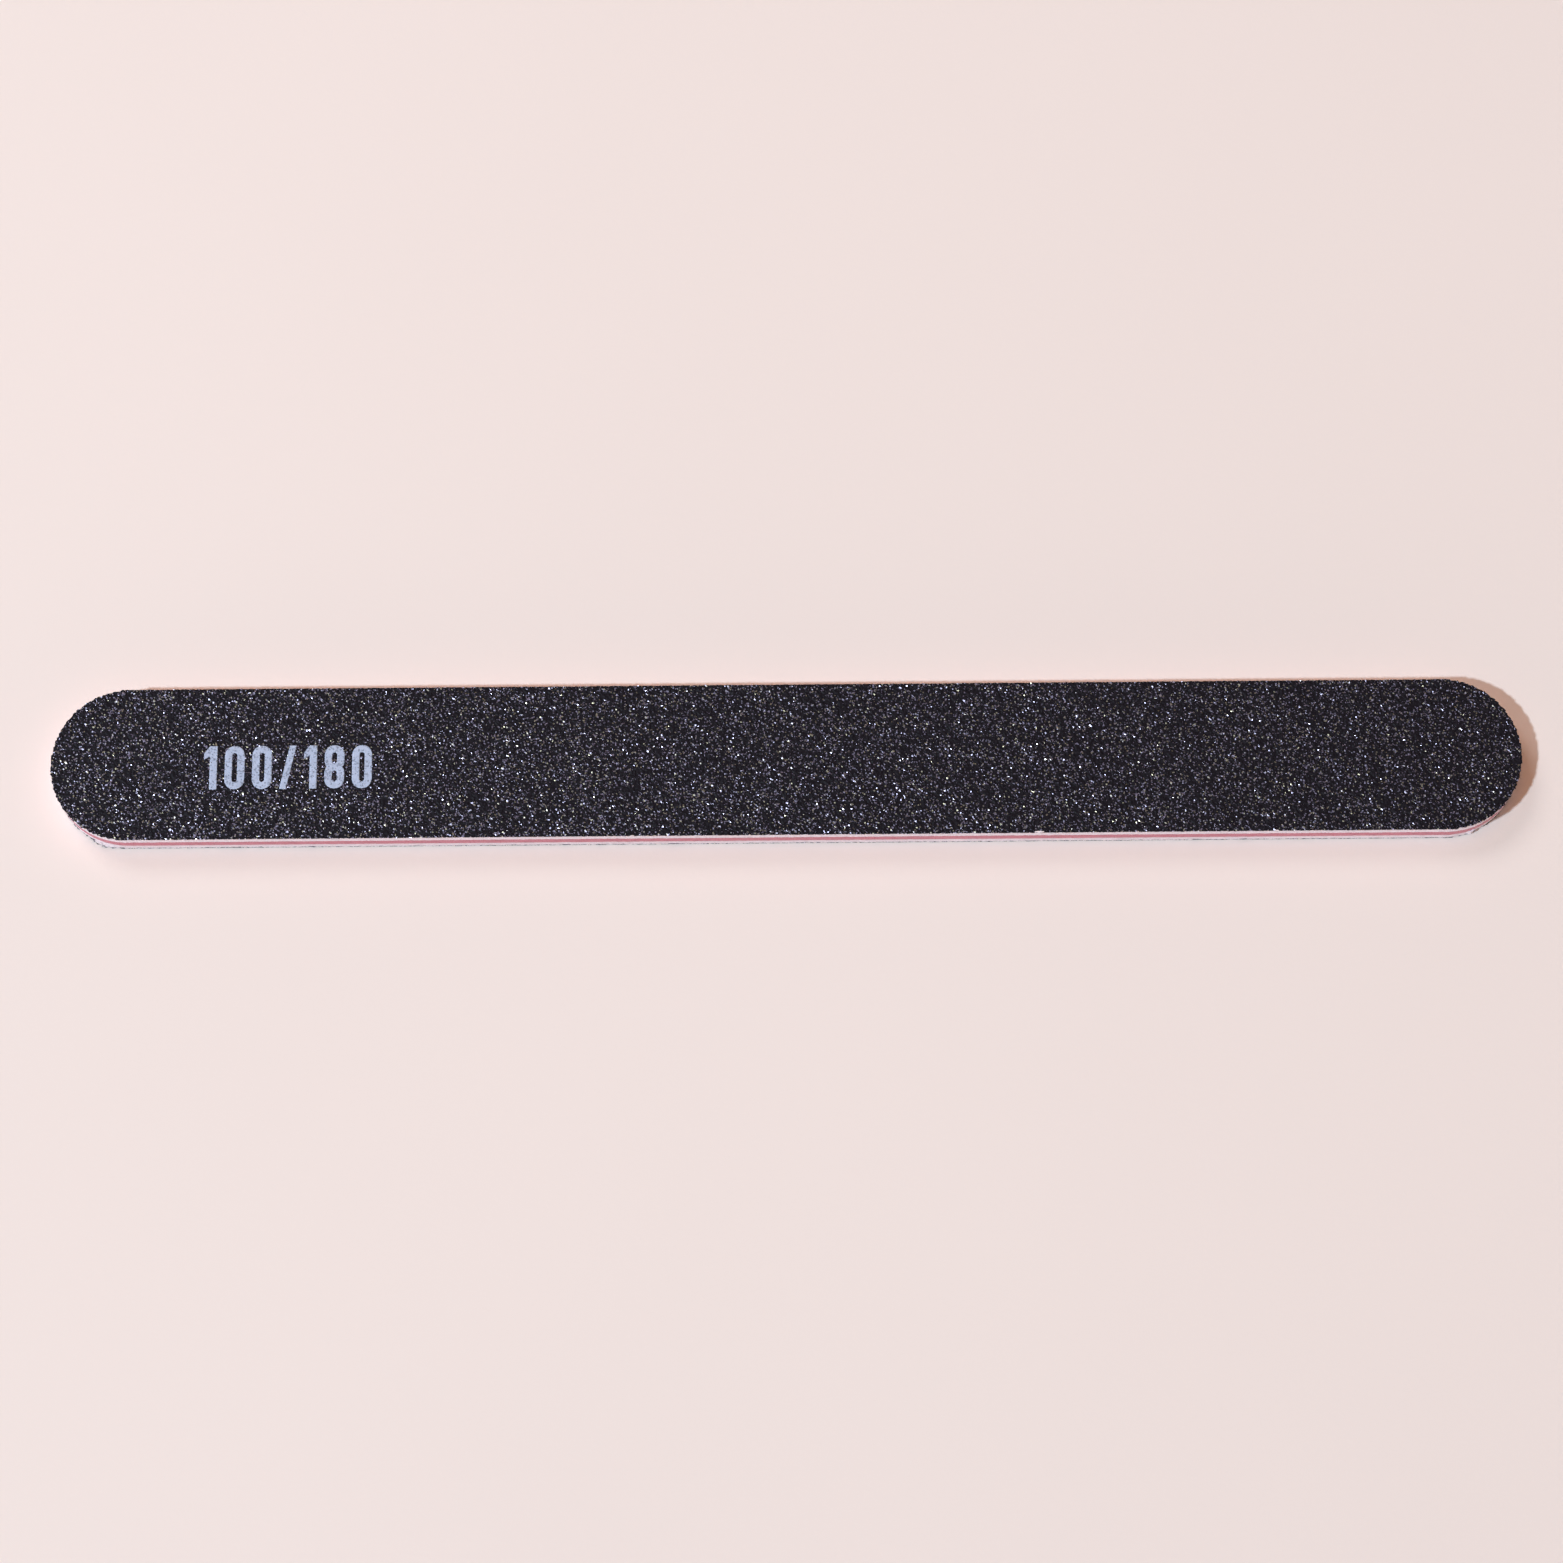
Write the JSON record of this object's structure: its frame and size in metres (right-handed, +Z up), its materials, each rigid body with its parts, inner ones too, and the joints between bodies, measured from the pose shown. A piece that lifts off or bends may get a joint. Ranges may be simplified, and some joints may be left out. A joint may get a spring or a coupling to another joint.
{
  "type": "nail file",
  "caption": "Straight round-ended nail file: a rigid plastic core between foam pads, with an abrasive sheet bonded to each face.",
  "frame": {"origin": "centre of the lower (finer) abrasive face, where the file rests on a table", "axes": "+X along the file's length, towards the end without the printed grade; +Y across its width; +Z up through the layers, out of the coarser face"},
  "size_m": [0.178, 0.019, 0.004],
  "materials": {
    "coarse_grit": "satin",
    "fine_grit": "satin",
    "backing_paper": "matte",
    "glue_film": "satin",
    "foam": "matte",
    "core_plastic": "satin",
    "print_ink": "matte"
  },
  "bodies": {
    "root": {"top_abrasive_grit": "coarse_grit", "top_abrasive_paper": "backing_paper", "top_outer_glue_film": "glue_film", "top_foam_pad": "foam", "top_inner_glue_film": "glue_film", "core_strip": "core_plastic", "bottom_inner_glue_film": "glue_film", "bottom_foam_pad": "foam", "bottom_outer_glue_film": "glue_film", "bottom_abrasive_paper": "backing_paper", "bottom_abrasive_grit": "fine_grit", "print_coarse_one": "print_ink", "print_coarse_first_zero": "print_ink", "print_coarse_second_zero": "print_ink", "print_slash": "print_ink", "print_fine_one": "print_ink", "print_fine_eight": "print_ink", "print_fine_zero": "print_ink"}
  },
  "joints": []
}
